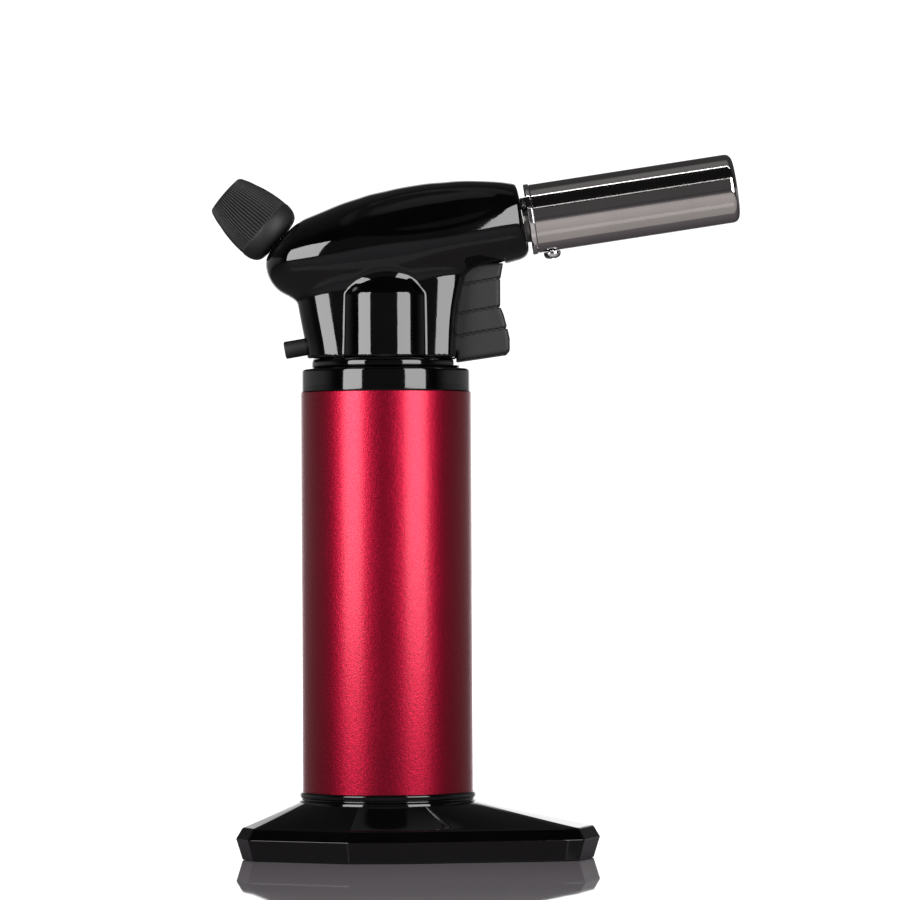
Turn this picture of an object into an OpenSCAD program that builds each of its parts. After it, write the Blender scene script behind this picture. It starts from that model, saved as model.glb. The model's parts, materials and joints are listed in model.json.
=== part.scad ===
// Table-top butane torch for jewellery soldering: weighted-looking black foot,
// anodised sleeve round the fuel tank, gloss black head with a push trigger,
// a flame-lock button, a gas regulator knob and a tilted chrome burner barrel.
// Millimetres. X points along the burner, Z up, origin on the tank's axis
// at the surface the torch stands on.

/* [Sleeve and tank] */
// Outside diameter of the anodised sleeve
sleeve_d = 45; // [42:0.5:48]
// Height of the sleeve's upper edge
sleeve_top = 123.2; // [118:0.1:126]
// Thickness of the sleeve's wall
sleeve_wall = 1; // [0.8:0.1:1.4]
// Thickness of the fuel tank's wall
tank_wall = 1.2; // [1:0.1:2]

/* [Foot] */
// How far the foot reaches in front of the tank's axis
foot_front = 56; // [50:0.5:62]
// How far the foot reaches behind the tank's axis
foot_rear = 40; // [36:0.5:44]
// Half of the foot's greatest width
foot_half_w = 30; // [27:0.5:34]
// Height of the sharp ridge round the foot
foot_ridge_z = 5.6; // [4:0.1:7]
// Height of the rim above the ridge
foot_rim_z = 8.5; // [7.5:0.1:10]
// Height at which the sloping top meets the socket
foot_neck_z = 15.4; // [14:0.1:17]
// Thickness of the foot's moulded wall
foot_wall = 2.2; // [1.8:0.1:3]

/* [Head] */
// Thickness of the head's moulded wall
head_wall = 1.8; // [1.5:0.1:2.2]
// How far the column on each side stands out from the middle
column_y = 19; // [18:0.1:19.6]
// Radius of the column's face
column_r = 14; // [12.5:0.1:15]
// Depth of the oval badge recess
badge_depth = 0.3; // [0.3:0.1:0.6]

/* [Trigger and lock] */
// Rise of the trigger's and lock button's shared axis, in degrees
press_rise = 9.5; // [6:0.5:12]
// Width of the trigger
trigger_w = 15; // [13:0.5:15.5]
// Diameter of the lock button
lock_d = 4.6; // [4:0.1:4.8]
// Outside diameter of the igniter
piezo_d = 7.4; // [7:0.1:7.4]

/* [Knob] */
// Direction of the knob's axis, in degrees up from the burner's side
knob_rise = 138.85; // [130:0.05:145]
// Length of the knob
knob_len = 18.9; // [17:0.1:20]
// Greatest radius of the knob
knob_r = 8.7; // [8:0.1:9]
// Number of ribs round the knob
knob_ribs = 56; // [36:2:72]

/* [Burner] */
// Rise of the burner's axis, in degrees
burner_rise = 8.5; // [5:0.5:12]
// Outside diameter of the barrel
barrel_d = 18.4; // [17:0.1:19]
// Distance from the flange's middle to the barrel's mouth
barrel_len = 55.1; // [48:0.1:60]
// Outside diameter of the flange
flange_d = 19; // [18:0.1:20]
// Outside diameter of the burner's neck
burner_neck_d = 12; // [11:0.1:12]

/* [Hidden] */
$fn = 64;
cut = 0.5;
slack = 0.05;
air = 0.3;
sleeve_r = sleeve_d / 2;
sleeve_bore = sleeve_r - sleeve_wall;
sleeve_z = 13;
pad_t = 1;
foot_z = 0.1;
foot_chamfer = 1.7;
socket_top = 17.6;
slope_bow = 1.05;
socket_r = sleeve_r + 0.6;
plate_t = 2.2;
plate_top = pad_t + plate_t;
head_depth = 1.4;
screw_head_r = 2.6;
screw_r = 1.2;
screw_len = 6;
screw_top = 8.8;
screw_spots = [[-30, -7], [-30, 7], [34, -9], [34, 9]];
filler_x = -11;
filler_gap_r = 6.2;
filler_z = 3.4;
filler_mouth_r = 2.2;
filler_mouth_h = 3;
tank_r = sleeve_bore - 0.2;
tank_z = 13.3;
tank_top = 112;
cap_flange = 3;
cap_plug = 8;
boss_r = 7;
boss_h = 5;
collar_r = 22.35;
collar_top = 129.3;
ring_r = 19.65;
ring_top = 132;
collar_bore = 17.6;
collar_edge = 0.5;
skirt_z = tank_top + cap_flange;
spigot_r = collar_bore - 0.2;
spigot_z = 124.2;
valve_top = 128.5;
valve_z = 108;
valve_r = 3.5;
stem_r = 1.1;
piston_r = 2.3;
piston_z = 110.6;
stem_top = 132.3;
pivot = [-5, 131];
pin_r = 1;
lever_h = 18;
lever_half = 1.5;
lever_plate = 1;
lever_y = 4.6;
axis_start = [-26.8, 134.4];
slot_from = 13;
slot_to = 31.9;
slot_top = 158.6;
slot_gap = 0.4;
lock_in = 8.6;
lock_flange = 7.7;
piezo_from = 14.5;
piezo_to = 37.3;
plunger_r = 2.4;
plunger_from = 30;
plunger_to = 47.5;
pocket_from = 41;
pocket_r = 4.3;
wire_r = 0.8;
hose_r = 1.5;
barb_r = 1.1;
seat = [-28.1, 163.4];
reg_r = 3.8;
reg_from = 2.2;
reg_to = 16;
spindle_r = 1.5;
flange_p = [38.6, 168.9];
flange_t = 1.7;
jet_from = -26;
tube_from = -14;
tube_to = 3;
barrel_wall = 0.75;
lip = 2;
barrel_screw_t = 4.3;
side_y = 7.2;
barrel_land = 8;
barrel_land_step = 0.3;
column_wall = 2;
arch_r = 11.7;
arch_z = 146;
neck_squareness = 3.1;
neck_wall = 2;
spigot_wall = 1.8;
spigot_floor = 1.5;
boss_in = 6.6;
boss_out = 15.4;
pin_half = 12;
post_spots = [[-8, 167], [11.5, 153.2], [-17.5, 146], [15, 173.5]];
post_r = 2.4;
post_len = 18;
counterbore_r = 2.2;
counterbore_y = 9.9;
rib_t = 1.4;
// ribs that carry the igniter, regulator and burner: [x, low z, high z]
rib_spots = [[-12.6, 129, 143], [7.6, 133.5, 144.5], [-22.6, 153, 167], [24, 159, 176]];
badge_mid = [11, 170.5];
badge_half = [21, 5.3];
badge_tilt = 8;
knob_gap = 0.45;
rib_depth = 0.45;
lip_steps = 6;
needle_from = 13.6;
needle_to = 10.2;
spindle_in = 9.4;
spindle_out = 11.5;
gland_r = 2.5;
helix_steps = 12;
helix_sides = 6;
run_steps = 5;
run_sides = 8;
run_side = [0.31, -0.83, 0.47];

black = [0.02, 0.02, 0.022];
matte = [0.05, 0.05, 0.052];
red = [0.75, 0.03, 0.1];
chrome = [0.6, 0.6, 0.62];
steel = [0.7, 0.7, 0.72];
brass = [0.78, 0.6, 0.3];
cream = [0.9, 0.88, 0.82];
grey = [0.35, 0.35, 0.37];
clear = [0.85, 0.87, 0.88];

// ridge outline of the foot, one half, front to rear
foot_half = [
    [foot_front, 5], [foot_front - 4.5, 18.6], [foot_front - 9, 20.7],
    [6, foot_half_w], [-10, foot_half_w],
    [3.5 - foot_rear, 15.7], [-foot_rear, 8]
];
foot_corners = concat(foot_half, [for (i = [len(foot_half) - 1:-1:0]) [foot_half[i][0], -foot_half[i][1]]]);
foot_step = 6;
foot_plan = [for (i = [0:len(foot_corners) - 1])
    let (a = foot_corners[i],
         b = foot_corners[(i + 1) % len(foot_corners)],
         n = max(1, round(norm(b - a) / foot_step)))
    for (k = [0:n - 1]) a + (b - a) * k / n];

// head sections from the knob's seat to the face round the burner:
// [underside point, top point, half width, level of the widest line, squareness]
head_sections = [
    [[-31.2, 160.1], [-25, 166.8], 6.6, 0.5, 2],
    [[-32.1, 157.7], [-23.1, 168.5], 10.6, 0.48, 2.1],
    [[-31.1, 153.3], [-19.9, 170], 13.4, 0.42, 2.2],
    [[-27.9, 149.8], [-13.6, 172.6], 15.5, 0.39, 2.2],
    [[-23.6, 148.1], [-7.2, 174.8], 17.5, 0.42, 2.2],
    [[-14, 148.6], [-0.8, 176.5], 19.1, 0.43, 2.2],
    [[-4, 149.6], [5.5, 177.8], 19.8, 0.44, 2.2],
    [[6, 151], [11.9, 178.7], 19.5, 0.44, 2.2],
    [[15, 152.7], [18.2, 179.2], 18.6, 0.44, 2.3],
    [[21.9, 154.2], [23, 179.3], 17.6, 0.45, 2.4],
    [[28, 155.8], [27.8, 179], 16.4, 0.47, 2.5],
    [[33.6, 157.4], [31, 178.8], 15.3, 0.49, 2.6],
    [[35.7, 158.5], [33, 178.5], 14.6, 0.5, 2.6],
    [[37, 160.4], [34.1, 177.9], 13.3, 0.5, 2.5]
];
// neck sections: [height, rear, front, half width]
neck_sections = [
    [ring_top, -20.8, 18.9, 14.6],
    [139, -22, 19.1, 14.7],
    [145, -23, 19.6, 14.8],
    [151, -23.6, 21.1, 14.8],
    [156, -22.6, 21.6, 13.8]
];
head_points = 32;

function squircle(a, n) = [sign(cos(a)) * pow(abs(cos(a)), 2 / n), sign(sin(a)) * pow(abs(sin(a)), 2 / n)];
function head_ring(s, inset) =
    let (up = (s[1] - s[0]) / norm(s[1] - s[0]),
         h = norm(s[1] - s[0]),
         mid = s[0] + up * h * s[3])
    [for (k = [0:head_points - 1])
        let (q = squircle(360 * k / head_points, s[4]),
             r = (q[1] > 0 ? h * (1 - s[3]) : h * s[3]) - inset)
        [mid[0] + up[0] * r * q[1], (s[2] - inset) * q[0], mid[1] + up[1] * r * q[1]]];
function neck_ring(s, inset) =
    [for (k = [0:head_points - 1])
        let (q = squircle(360 * k / head_points, neck_squareness))
        [(s[1] + s[2]) / 2 + ((s[2] - s[1]) / 2 - inset) * q[0], (s[3] - inset) * q[1], s[0]]];
function foot_ring(z, inset) =
    [for (p = foot_plan) let (k = 1 - inset / norm(p)) [p[0] * k, p[1] * k, z]];
function foot_slope(t, r, drop) =
    [for (p = foot_plan)
        let (a = atan2(p[1], p[0]), q = p * (1 - foot_chamfer / norm(p)) * (1 - t))
        [q[0] + r * cos(a) * t, q[1] + r * sin(a) * t,
         foot_rim_z + (foot_neck_z - foot_rim_z) * pow(t, slope_bow) - drop]];
function on_press(s) = [axis_start[0] + s * cos(press_rise), axis_start[1] + s * sin(press_rise)];
function on_knob(s) = [seat[0] + s * cos(knob_rise), seat[1] + s * sin(knob_rise)];
function on_burner(t) = [flange_p[0] + t * cos(burner_rise), flange_p[1] + t * sin(burner_rise)];
function xyz(p, y) = [p[0], y, p[1]];

// closed surface through rings of equal length
module skin(rings) {
    n = len(rings[0]);
    m = len(rings);
    sides = [for (i = [0:m - 2], j = [0:n - 1])
        let (a = i * n + j, b = i * n + (j + 1) % n)
        each [[a, a + n, b], [b, a + n, b + n]]];
    caps = [[for (j = [0:n - 1]) j], [for (j = [n - 1:-1:0]) (m - 1) * n + j]];
    polyhedron([for (r = rings) each r], concat(sides, caps), convexity = 8);
}

// local Z runs from a point of the XZ plane at the stated rise above X
module along(p, rise) {
    translate([p[0], 0, p[1]])
        rotate([0, 90 - rise, 0])
            children();
}

module press_axis() {
    along(axis_start, press_rise)
        children();
}

module knob_axis() {
    along(seat, knob_rise)
        children();
}

module burner_axis() {
    along(flange_p, burner_rise)
        children();
}

module ring(r_out, r_in, z0, z1) {
    translate([0, 0, z0])
        difference() {
            cylinder(r = r_out, h = z1 - z0);
            translate([0, 0, -cut])
                cylinder(r = r_in, h = z1 - z0 + 2 * cut);
        }
}

module rod(r, z0, z1) {
    translate([0, 0, z0])
        cylinder(r = r, h = z1 - z0);
}

// side profile in X and Z, w wide across Y
module side_slab(points, w) {
    rotate([90, 0, 0])
        translate([0, 0, -w / 2])
            linear_extrude(w)
                polygon(points);
}

module across(p, r, y0, y1) {
    translate([p[0], y0, p[1]])
        rotate([-90, 0, 0])
            cylinder(r = r, h = y1 - y0);
}

module o_ring(r, d, z) {
    translate([0, 0, z])
        rotate_extrude()
            translate([r, 0])
                circle(d = d, $fn = 24);
}

module coil(r, d, z0, z1, turns) {
    steps = helix_steps * turns;
    skin([for (i = [0:steps])
        let (a = 360 * i / helix_steps, z = z0 + d / 2 + (z1 - z0 - d) * i / steps)
        [for (k = [0:helix_sides - 1])
            let (b = -360 * k / helix_sides, q = r + cos(b) * d / 2)
            [q * cos(a), q * sin(a), z + sin(b) * d / 2]]]);
}

// smooth round cord through a list of points
function bend(p, i, t) =
    let (a = p[max(i - 1, 0)], b = p[i], c = p[i + 1], d = p[min(i + 2, len(p) - 1)])
    (2 * b + (c - a) * t + (2 * a - 5 * b + 4 * c - d) * t * t + (3 * b - a - 3 * c + d) * t * t * t) / 2;
module run(points, r) {
    n = len(points) - 1;
    path = [for (i = [0:n - 1], k = [0:run_steps - 1]) bend(points, i, k / run_steps), points[n]];
    m = len(path) - 1;
    skin([for (i = [0:m])
        let (d = path[min(i + 1, m)] - path[max(i - 1, 0)],
             w = d / norm(d),
             u = cross(run_side, w) / norm(cross(run_side, w)),
             v = cross(w, u))
        [for (k = [0:run_sides - 1])
            path[i] + r * (cos(360 * k / run_sides) * u + sin(360 * k / run_sides) * v)]]);
}

module cross_drive(z, half, depth) {
    for (a = [0, 90])
        rotate([0, 0, a])
            translate([-half, -0.3, z - depth])
                cube([2 * half, 0.6, depth + cut]);
}

module non_slip_pad() {
    color(matte)
        difference() {
            linear_extrude(pad_t)
                polygon([for (p = foot_ring(0, foot_chamfer + foot_wall + 0.8)) [p[0], p[1]]]);
            translate([filler_x, 0, -cut])
                cylinder(r = filler_gap_r, h = pad_t + 2 * cut);
            for (p = screw_spots)
                translate([p[0], p[1], -cut])
                    cylinder(r = screw_head_r + 0.6, h = pad_t + 2 * cut);
        }
}

module base_plate() {
    color(grey)
        difference() {
            translate([0, 0, pad_t])
                linear_extrude(plate_t)
                    polygon([for (p = foot_ring(0, foot_chamfer + foot_wall + 0.3)) [p[0], p[1]]]);
            translate([filler_x, 0, 0])
                cylinder(r = filler_gap_r, h = plate_top + cut);
            for (p = screw_spots)
                translate([p[0], p[1], 0]) {
                    cylinder(r = screw_head_r + 0.4, h = pad_t + head_depth);
                    cylinder(r = screw_r + 0.3, h = plate_top + cut);
                }
        }
}

module base_screws() {
    color(steel)
        for (p = screw_spots)
            translate([p[0], p[1], pad_t])
                difference() {
                    union() {
                        rod(screw_head_r, 0.1, head_depth);
                        rod(screw_r, head_depth, head_depth + screw_len);
                    }
                    rotate([180, 0, 0])
                        cross_drive(-0.1, 1.6, 0.8);
                }
}

module foot_shell() {
    color(black)
        difference() {
            union() {
                skin([
                    foot_ring(foot_z, foot_chamfer),
                    foot_ring(foot_ridge_z, 0),
                    foot_ring(foot_rim_z, foot_chamfer),
                    for (t = [0.25, 0.5, 0.75, 1]) foot_slope(t, socket_r - 0.4, 0)
                ]);
                rod(socket_r, foot_neck_z - 1, socket_top);
            }
            difference() {
                skin([
                    foot_ring(foot_z - cut, foot_chamfer + foot_wall),
                    foot_ring(foot_ridge_z, foot_wall),
                    foot_ring(foot_rim_z - foot_wall * 0.7, foot_chamfer + foot_wall),
                    for (t = [0.3, 0.6, 0.8]) foot_slope(t, socket_r - 0.4, foot_wall)
                ]);
                for (p = screw_spots)
                    translate([p[0], p[1], plate_top])
                        cylinder(r = 3, h = screw_top);
                rod(socket_r + 1.5, sleeve_z - 3, socket_top);
            }
            rod(sleeve_r + slack, sleeve_z, socket_top + cut);
            rod(sleeve_bore - 0.6, 0, socket_top);
            for (p = screw_spots)
                translate([p[0], p[1], plate_top - cut])
                    cylinder(r = screw_r, h = screw_top - plate_top + cut);
        }
}

module body_sleeve() {
    color(red)
        ring(sleeve_r, sleeve_bore, sleeve_z, sleeve_top);
}

module fuel_tank() {
    color(clear)
        difference() {
            union() {
                rod(tank_r, tank_z, tank_top);
                translate([filler_x, 0, 0])
                    rod(6, 7.5, tank_z + 4);
            }
            rod(tank_r - tank_wall, tank_z + 1.6, tank_top + cut);
            translate([filler_x, 0, 0])
                rod(4, 7, tank_z + 5);
        }
}

module tank_cap() {
    color(grey)
        difference() {
            union() {
                rod(tank_r - tank_wall - slack, tank_top - cap_plug, tank_top);
                rod(tank_r, tank_top, tank_top + cap_flange);
                rod(boss_r, tank_top, tank_top + cap_flange + boss_h);
            }
            rod(valve_r, tank_top - cap_plug - cut, tank_top + cap_flange + boss_h + cut);
            ring(tank_r, tank_r - tank_wall - 1.4, tank_top - 5, tank_top - 3);
            ring(tank_r - 6, boss_r + 1, tank_top - cap_plug - cut, tank_top - 1);
        }
}

module tank_seal() {
    color(matte)
        o_ring(tank_r - tank_wall - 0.8, 1.3, tank_top - 4);
}

module refill_valve_body() {
    color(brass)
        translate([filler_x, 0, 0])
            difference() {
                union() {
                    rod(3.9, filler_z, 20);
                    rod(5.4, filler_z + 1, filler_z + 2.6);
                }
                rod(filler_mouth_r, filler_z - cut, filler_z + filler_mouth_h);
                rod(1.7, filler_z, filler_z + 6);
                rod(2.8, filler_z + 5, 18.6);
                rod(0.6, 18, 20 + cut);
            }
}

module refill_valve_stem() {
    color(steel)
        translate([filler_x, 0, 0])
            difference() {
                union() {
                    rod(1.3, filler_z + filler_mouth_h + 0.3, 11);
                    rod(2.3, 8.8, 10);
                }
                rod(0.5, filler_z, 9.5);
            }
}

module refill_valve_spring() {
    color(steel)
        translate([filler_x, 0, 0])
            coil(2, 0.5, 11.1, 18.5, 5);
}

module refill_seal() {
    color(matte)
        translate([filler_x, 0, 0])
            o_ring(4.8, 1.4, 6.75);
}

module upper_collar() {
    color(black)
        difference() {
            union() {
                rod(sleeve_bore - slack, skirt_z, sleeve_top + slack);
                rotate_extrude()
                    polygon([
                        [0, sleeve_top - 0.4], [sleeve_bore - 0.2, sleeve_top - 0.4],
                        [sleeve_bore - 0.2, sleeve_top + slack], [collar_r, sleeve_top + slack],
                        [collar_r, collar_top - collar_edge], [collar_r - collar_edge, collar_top],
                        [0, collar_top]
                    ]);
                rod(ring_r, collar_top - 1, ring_top);
            }
            rod(collar_bore, spigot_z - 1, ring_top + cut);
            rod(19.4, skirt_z - cut, sleeve_top - 1);
            rod(collar_bore - 2, sleeve_top - 2, ring_top);
            translate([14.5, -trigger_w / 2 - 0.5, collar_top + 0.8])
                cube([10, trigger_w + 1, ring_top]);
        }
}

module gas_valve_body() {
    color(brass)
        difference() {
            union() {
                rod(valve_r, valve_z, valve_top);
                rod(5, tank_top + cap_flange + boss_h, 121.6);
                across([0, 125], barb_r, 2.6, 8.4);
            }
            rod(2.9, valve_z + 1.4, 124.4);
            rod(stem_r + air, valve_z - cut, valve_top + cut);
        }
}

module gas_valve_stem() {
    color(steel)
        union() {
            rod(stem_r, piston_z, stem_top);
            rod(piston_r, piston_z, piston_z + 1.6);
            rod(2.5, stem_top - 0.5, stem_top);
        }
}

module gas_valve_spring() {
    color(steel)
        coil(2.05, 0.6, piston_z + 1.7, 124.3, 7);
}

module gas_lever() {
    color(steel)
        difference() {
            union() {
                for (y = [-lever_y - lever_plate, lever_y])
                    translate([pivot[0] - lever_half, y, pivot[1] - 0.7])
                        cube([2 * lever_half, lever_plate, lever_h - 0.3]);
                for (y = [-lever_y - lever_plate, lever_y])
                    across(pivot, 2, y, y + lever_plate);
                translate([pivot[0] - lever_half, -lever_y - cut, pivot[1] + 15.3])
                    cube([2 * lever_half, 2 * (lever_y + cut), 2]);
                translate([pivot[0] - lever_half, -lever_y - cut, pivot[1] - 0.7])
                    cube([9.3, 2 * (lever_y + cut), 1.1]);
            }
            across(pivot, pin_r + slack, -lever_y - 2, lever_y + 2);
            translate([-stem_r - 0.8, -stem_r - 0.4, pivot[1] - 2])
                cube([8, 2 * stem_r + 0.8, 4]);
        }
}

module lever_pin() {
    color(steel)
        across(pivot, pin_r, -pin_half, pin_half);
}

module gas_hose() {
    color(clear)
        run([
            [0, 8, 125], [2, 10.2, 126.5], [3, 10.5, 132], [2.5, 10.5, 145], [-6, 10.5, 152],
            [-14, 9.5, 155], xyz(on_knob(-12), 7)
        ], hose_r);
}

module jet_hose() {
    color(clear)
        run([
            xyz(on_knob(-reg_to - 3), 0), [-10.5, 0, 153.5], [-4, 0, 158], [5, 0, 162.6],
            xyz(on_burner(jet_from - 3.4), 0)
        ], hose_r);
}

module outer_head(inset) {
    n = len(head_sections) - 1;
    skin(inset > 0
        ? [for (i = [1:n - 1]) head_ring(head_sections[i], inset)]
        : [for (s = head_sections) head_ring(s, 0)]);
}

module outer_neck(inset, z0) {
    skin(concat(
        [neck_ring([z0, neck_sections[0][1], neck_sections[0][2], neck_sections[0][3]], inset)],
        [for (s = neck_sections) if (s[0] > z0) neck_ring(s, inset)]));
}

// raised face on each side of the neck, with an arched top; inset gives its hollow
module side_column(side, inset) {
    r = arch_r - inset;
    intersection() {
        translate([0, side * (column_y - column_r), ring_top + inset])
            cylinder(r = column_r - inset, h = 30);
        union() {
            across([0, arch_z], r, -column_y - 1, column_y + 1);
            translate([-r, -column_y - 1, ring_top])
                cube([2 * r, 2 * column_y + 2, arch_z - ring_top]);
        }
    }
}

module badge_prism(side) {
    translate([badge_mid[0], side * 14, badge_mid[1]])
        rotate([90, -badge_tilt, 0])
            linear_extrude(16, center = true)
                scale(badge_half)
                    circle(r = 1, $fn = 48);
}

module head_block(side) {
    difference() {
        outer_head(0);
        difference() {
            badge_prism(side);
            outer_head(badge_depth);
        }
    }
}

module head_half(side) {
    y0 = side > 0 ? 0 : -30;
    intersection() {
        translate([-50, y0, spigot_z])
            cube([100, 30, 70]);
        difference() {
            union() {
                difference() {
                    union() {
                        head_block(side);
                        outer_neck(0, ring_top);
                        side_column(side, 0);
                        rod(spigot_r, spigot_z, ring_top + slack);
                    }
                    outer_head(head_wall);
                    outer_neck(neck_wall, ring_top - 2);
                    side_column(side, column_wall);
                    rod(spigot_r - spigot_wall, spigot_z - cut, ring_top - spigot_floor);
                }
                across(pivot, pin_r + 1.5, side > 0 ? boss_in : -boss_out, side > 0 ? boss_out : -boss_in);
                intersection() {
                    union() {
                        outer_head(1);
                        outer_neck(1, ring_top - 4);
                    }
                    union() {
                        for (r = rib_spots)
                            translate([r[0], side > 0 ? 1 : -19, r[1]])
                                cube([rib_t, 18, r[2] - r[1]]);
                        for (p = post_spots)
                            across(p, post_r, side > 0 ? 0 : -post_len, side > 0 ? post_len : 0);
                    }
                }
            }
            for (p = post_spots)
                across(p, screw_r - 0.2, -9.4, 9.4);
            across(pivot, pin_r, -pin_half, pin_half);
            press_axis() {
                rod(lock_d / 2 + air, -2, lock_flange);
                rod(piezo_d / 2, piezo_from - 2, piezo_to);
            }
            knob_axis() {
                rod(2.8, -reg_from, 3);
                rod(reg_r, -reg_to - cut, -reg_from);
            }
            burner_axis() {
                rod(burner_neck_d / 2 + slack, -20, 6);
                translate([0, -side_y, 0])
                    rod(1, -20, 6);
            }
            translate([slot_from, -trigger_w / 2 - slot_gap, valve_top - cut])
                cube([slot_to - slot_from, trigger_w + 2 * slot_gap, slot_top - valve_top + cut]);
        }
    }
}

module housing_left() {
    color(black)
        head_half(-1);
}

module housing_right() {
    color(black)
        difference() {
            head_half(1);
            for (p = post_spots) {
                across(p, counterbore_r, counterbore_y, 25);
                across(p, screw_r + 0.2, 1.5, 12);
            }
        }
}

module housing_screws() {
    color(steel)
        for (p = post_spots)
            translate([p[0], 0, p[1]])
                rotate([-90, 0, 0])
                    difference() {
                        union() {
                            rod(screw_r - 0.25, -9, 10);
                            rod(2, 10, 11.4);
                        }
                        cross_drive(11.4, 1.3, 0.8);
                    }
}

trigger_face = [
    [31.1, 157], [30.4, 152.4], [30.4, 145.5], [31.2, 143.5], [32.3, 139.4],
    [32.8, 137], [32.8, 134.3], [32, 133.1], [18.6, 131.1], [18.6, 133.4],
    [15, 133.4], [15, 150.5], [19.2, 153.5], [22, 157]
];
groove_spots = [[20, 151.3], [20, 143.8], [20, 137.9]];
module trigger() {
    color(matte)
        difference() {
            union() {
                side_slab(trigger_face, trigger_w);
                translate([pivot[0] + lever_half + 0.5, -2.5, pivot[1] + 15.5])
                    cube([20, 5, 1.6]);
            }
            for (g = groove_spots)
                translate([g[0], 0, g[1]])
                    rotate([0, -press_rise, 0]) {
                        for (y = [-trigger_w / 2 - 1, trigger_w / 2 - 0.6])
                            translate([-1.5, y, -0.4])
                                cube([16, 1.6, 0.8]);
                        translate([9.8, -trigger_w, -0.4])
                            cube([5, 2 * trigger_w, 0.8]);
                    }
            press_axis()
                rod(pocket_r, pocket_from - 2, plunger_to);
        }
}

module trigger_spring() {
    color(steel)
        press_axis()
            coil(3.3, 0.7, piezo_to + 0.05, plunger_to - 0.05, 5);
}

module piezo_body() {
    color(clear)
        press_axis()
            difference() {
                union() {
                    rod(piezo_d / 2 - slack, piezo_from, piezo_to);
                    rod(2, piezo_from - 1.6, piezo_from);
                }
                rod(plunger_r + air, 24, piezo_to + cut);
            }
}

module piezo_plunger() {
    color(cream)
        press_axis()
            rod(plunger_r, plunger_from, plunger_to);
}

module ignition_wire() {
    color(matte)
        run([
            xyz(on_press(17.5), -piezo_d / 2 + 0.2), [-9.8, -7.5, 139], [-9.8, -10.6, 143],
            [-8, -11, 152], [4, -11, 160], [14, -8.6, 164],
            xyz(on_burner(-17), -side_y), xyz(on_burner(-12), -side_y)
        ], wire_r);
}

module lock_button() {
    color(matte)
        press_axis()
            difference() {
                union() {
                    rod(lock_d / 2 - 0.3, 0, 0.3 + cut);
                    rod(lock_d / 2, 0.3, lock_in);
                    rod(3.4, lock_flange + air, lock_in + 0.6);
                }
                rod(1.2, lock_in - 2, lock_in + 1);
            }
}

module lock_spring() {
    color(steel)
        press_axis()
            coil(2.6, 0.5, lock_in + 0.7, piezo_from - 0.1, 4);
}

module regulator_body() {
    color(brass)
        knob_axis()
            difference() {
                union() {
                    rod(reg_r - slack, -reg_to, -reg_from - slack);
                    rod(barb_r, -reg_to - 3, -reg_to + 1);
                    translate([0, 0, -12])
                        rotate([-90, 0, 0])
                            cylinder(r = barb_r, h = 7);
                }
                rod(2.6, -6, 0);
                rod(spindle_r + 0.4, -12, -4);
                rod(0.8, -reg_to - 1, -10);
            }
}

module gland_nut() {
    color(brass)
        knob_axis()
            difference() {
                rod(gland_r, -6, -0.2);
                rod(spindle_r + 0.35, -7, 1);
            }
}

module regulator_spindle() {
    color(steel)
        knob_axis()
            rod(spindle_r, -spindle_in, spindle_out);
}

module regulator_needle() {
    color(steel)
        knob_axis()
            union() {
                rod(1.2, -needle_to - 1.4, -spindle_in);
                translate([0, 0, -needle_from])
                    cylinder(r1 = 0.15, r2 = 0.45, h = needle_from - needle_to - 1);
            }
}

// knob sections: [height above the base, radius as a share of the greatest]
knob_profile = [
    [4.9, 0.965], [5.6, 0.99], [9.3, 0.966], [12.4, 0.902], [14.4, 0.839], [16.2, 0.782],
    [knob_len - 0.2, 0.655], [knob_len + 0.1, 0.61], [knob_len + 0.4, 0.36]
];
module flame_knob() {
    color(matte)
        knob_axis()
            difference() {
                union() {
                    rotate_extrude()
                        polygon([
                            [0, knob_gap], [4.9, knob_gap], [6.7, knob_gap + 0.35], [7.85, 1.6],
                            [8.5, 2.9], [knob_r, 4.2], [knob_r, 5.1], [0, 5.1]
                        ]);
                    skin([for (s = knob_profile)
                        [for (k = [0:2 * knob_ribs - 1])
                            let (r = knob_r * s[1] - rib_depth * (k % 2), a = 180 * k / knob_ribs)
                            [r * cos(a), r * sin(a), s[0]]]]);
                }
                rod(spindle_r + slack, -cut, 12);
            }
}

module jet_holder() {
    color(brass)
        burner_axis()
            difference() {
                union() {
                    rod(4, jet_from, tube_from);
                    rod(barb_r, jet_from - 3.4, jet_from);
                }
                rod(0.6, jet_from - 4, tube_from);
                rod(2.4, tube_from - 6, tube_from + cut);
            }
}

module gas_jet() {
    color(brass)
        burner_axis()
            difference() {
                union() {
                    rod(2.35, tube_from - 6, tube_from + 2);
                    rod(1.4, tube_from + 2, tube_from + 4.5);
                }
                rod(0.3, tube_from - 7, tube_from + 5);
            }
}

module mixing_tube() {
    color(steel)
        burner_axis()
            difference() {
                union() {
                    rod(burner_neck_d / 2, tube_from, tube_to);
                    rod(burner_neck_d / 2 + 0.6, -7, -5.6);
                }
                rod(4.8, tube_from - cut, tube_to + cut);
                for (a = [0, 90])
                    translate([0, 0, tube_from + 4])
                        rotate([90, 0, a + 45])
                            cylinder(r = 1.5, h = 20, center = true);
            }
}

module shroud_flange() {
    color(chrome)
        burner_axis()
            difference() {
                union() {
                    rod(flange_d / 2, -flange_t / 2, flange_t / 2);
                    rod(barrel_d / 2 - barrel_wall - slack, flange_t / 2, 7);
                }
                rod(burner_neck_d / 2 + slack, -2, 8);
                translate([0, -side_y, -2])
                    cylinder(r = 0.9, h = 10);
                translate([0, 0, barrel_screw_t])
                    rotate([0, 90, 0])
                        cylinder(r = 1, h = 12);
            }
}

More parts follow.
